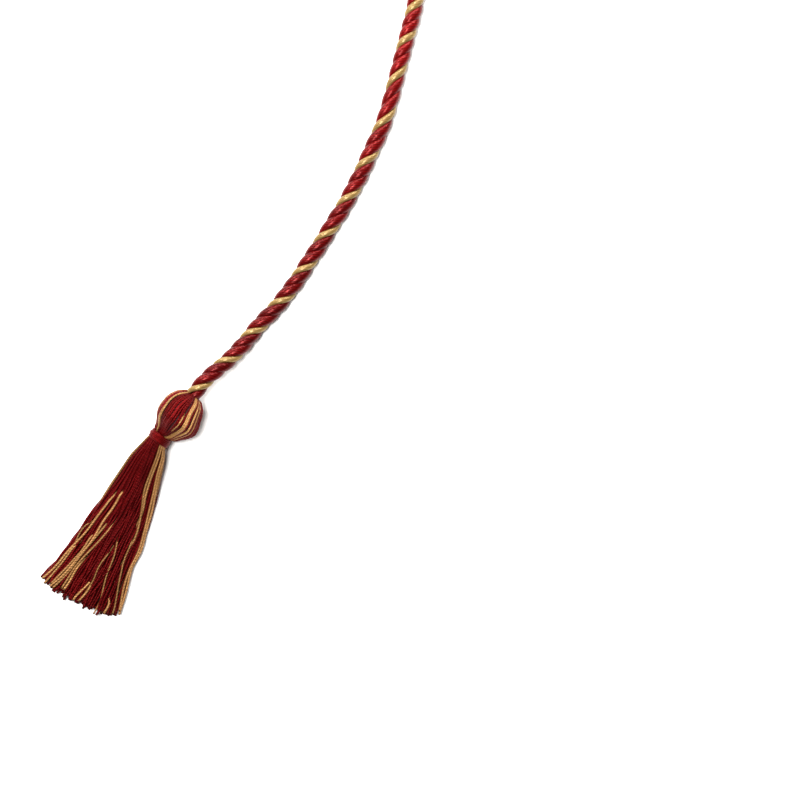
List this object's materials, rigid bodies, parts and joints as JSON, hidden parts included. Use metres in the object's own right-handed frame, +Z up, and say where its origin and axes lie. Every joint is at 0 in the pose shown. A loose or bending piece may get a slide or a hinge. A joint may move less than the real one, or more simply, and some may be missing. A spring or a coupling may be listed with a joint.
{
  "type": "honor cord",
  "caption": "Twisted two-colour rope worn round the neck at a graduation, with a bound, round-headed tassel at each end, laid on a flat surface.",
  "frame": {"origin": "on the surface that the cord lies on, under the middle of the box that holds its two tassels", "axes": "+Z up from the surface, +Y along the plane from the front tassel towards the back one, +X to the side that the rope lies on"},
  "size_m": [0.1813, 0.6155, 0.022],
  "materials": {
    "twisted_rope": "glossy rayon yarn, two red plies and one pale gold ply, twisted to the right",
    "tassel_yarn": "glossy twisted rayon yarn, deep red with some pale gold strands",
    "binding_thread": "fine glossy deep red thread, wound side by side"
  },
  "bodies": {
    "root": {"rope": "twisted_rope", "front_tassel": "tassel_yarn", "front_binding": "binding_thread", "back_tassel": "tassel_yarn", "back_binding": "binding_thread"}
  },
  "joints": []
}
